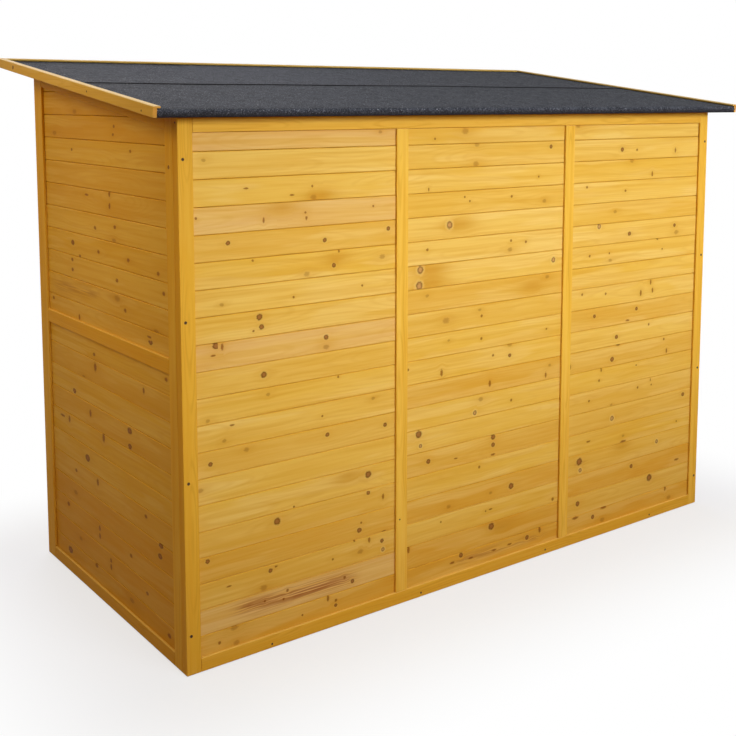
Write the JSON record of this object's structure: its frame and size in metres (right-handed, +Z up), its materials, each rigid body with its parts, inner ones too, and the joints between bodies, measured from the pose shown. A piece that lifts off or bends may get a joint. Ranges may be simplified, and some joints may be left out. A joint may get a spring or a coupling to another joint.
{
  "type": "bike shed",
  "caption": "Closed timber bike shed with framed and boarded walls, double doors in the high front wall and a lean-to roof of felted boards with timber edge trim.",
  "frame": {"origin": "on the ground, under the middle of the roof's outline", "axes": "+Z up, +X along the shed, -Y out of the low back wall, +Y out of the doors in the high front"},
  "size_m": [2.17, 1.0734, 1.5455],
  "materials": {
    "wall_framing": "honey stained softwood, planed",
    "wall_boards": "honey stained softwood boards with knots",
    "roof_trim": "honey stained softwood moulding",
    "raw_timber": "sawn softwood",
    "roof_felt": "mineral felt, matt",
    "galvanised_steel": "galvanised"
  },
  "bodies": {
    "root": {"back_bottom_rail": "wall_framing", "back_left_batten": "wall_framing", "back_left_cladding": "wall_boards", "back_left_post": "wall_framing", "back_middle_cladding": "wall_boards", "back_right_batten": "wall_framing", "back_right_cladding": "wall_boards", "back_right_post": "wall_framing", "back_top_rail": "wall_framing", "door_bolt": "galvanised_steel", "door_hinges": "galvanised_steel", "front_bottom_rail": "wall_framing", "front_header": "wall_framing", "front_left_post": "wall_framing", "front_right_post": "wall_framing", "left_door_cladding": "wall_boards", "left_door_hinge_stile": "wall_framing", "left_door_meeting_stile": "wall_framing", "left_door_rails": "wall_framing", "left_end_back_stile": "wall_framing", "left_end_bottom_rail": "wall_framing", "left_end_front_stile": "wall_framing", "left_end_lower_cladding": "wall_boards", "left_end_middle_rail": "wall_framing", "left_end_top_rail": "wall_framing", "left_end_upper_cladding": "wall_boards", "right_door_cladding": "wall_boards", "right_door_hinge_stile": "wall_framing", "right_door_meeting_stile": "wall_framing", "right_door_rails": "wall_framing", "right_end_back_stile": "wall_framing", "right_end_bottom_rail": "wall_framing", "right_end_front_stile": "wall_framing", "right_end_lower_cladding": "wall_boards", "right_end_middle_rail": "wall_framing", "right_end_top_rail": "wall_framing", "right_end_upper_cladding": "wall_boards", "roof_bearers": "raw_timber", "roof_deck": "raw_timber", "roof_front_trim": "roof_trim", "roof_left_trim": "roof_trim", "roof_lower_felt": "roof_felt", "roof_right_trim": "roof_trim", "roof_upper_felt": "roof_felt"}
  },
  "joints": []
}
